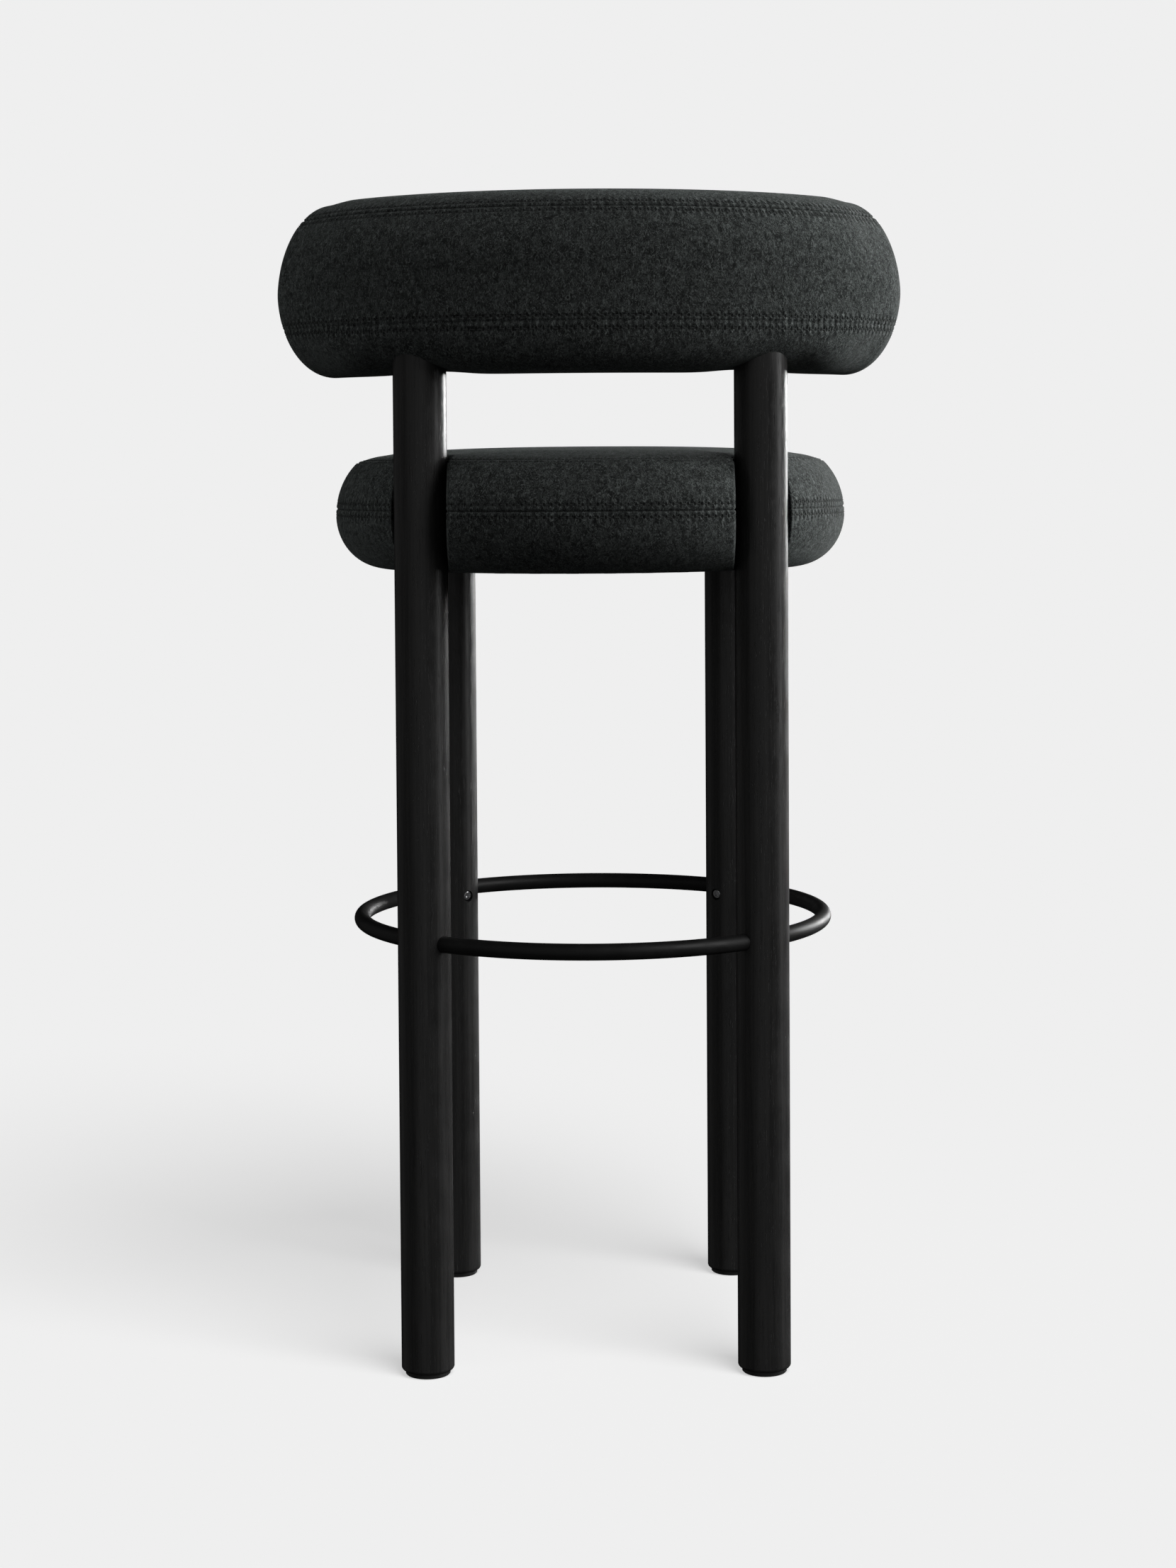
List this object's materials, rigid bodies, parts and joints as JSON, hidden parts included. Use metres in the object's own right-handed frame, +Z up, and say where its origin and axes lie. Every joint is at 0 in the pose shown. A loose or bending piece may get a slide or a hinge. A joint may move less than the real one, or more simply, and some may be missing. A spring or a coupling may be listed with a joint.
{
  "type": "bar stool with footrest",
  "caption": "Bar stool with a round notched upholstered seat, a curved padded backrest carried by the rear posts and a round tubular footrest.",
  "frame": {"origin": "on the floor, under the middle of the seat", "axes": "+Z up; the sitter faces -Y, so the backrest is on the +Y side; +X is the sitter's left"},
  "size_m": [0.5418, 0.4508, 0.9995],
  "materials": {
    "stained_wood": "black-stained, satin lacquer",
    "wool_felt": "charcoal melange wool felt",
    "foam": "upholstery foam",
    "plywood": "raw birch plywood",
    "black_steel": "black powder coat",
    "bright_steel": "bright zinc plate",
    "brass": "turned",
    "black_nylon": "moulded nylon",
    "black_lining": "non-woven lining"
  },
  "bodies": {
    "root": {"backrest_bolts": "bright_steel", "backrest_core": "plywood", "backrest_cover_band": "wool_felt", "backrest_cover_bottom": "wool_felt", "backrest_cover_top": "wool_felt", "backrest_foam": "foam", "backrest_tee_nuts": "bright_steel", "backrest_washers": "bright_steel", "foot_glide_front_left": "black_nylon", "foot_glide_front_right": "black_nylon", "foot_glide_rear_left": "black_nylon", "foot_glide_rear_right": "black_nylon", "footrest_arc_front": "black_steel", "footrest_arc_left": "black_steel", "footrest_arc_rear": "black_steel", "footrest_arc_right": "black_steel", "footrest_joiner_pins": "bright_steel", "footrest_lock_screws": "bright_steel", "front_leg_left": "stained_wood", "front_leg_right": "stained_wood", "glide_screws": "bright_steel", "leg_inserts": "brass", "rear_leg_left": "stained_wood", "rear_leg_right": "stained_wood", "seat_board": "plywood", "seat_bolt_washers": "bright_steel", "seat_bolts": "bright_steel", "seat_cover_lower_band": "wool_felt", "seat_cover_staples": "bright_steel", "seat_cover_top": "wool_felt", "seat_cover_upper_band": "wool_felt", "seat_dust_cover": "black_lining", "seat_foam": "foam"}
  },
  "joints": []
}
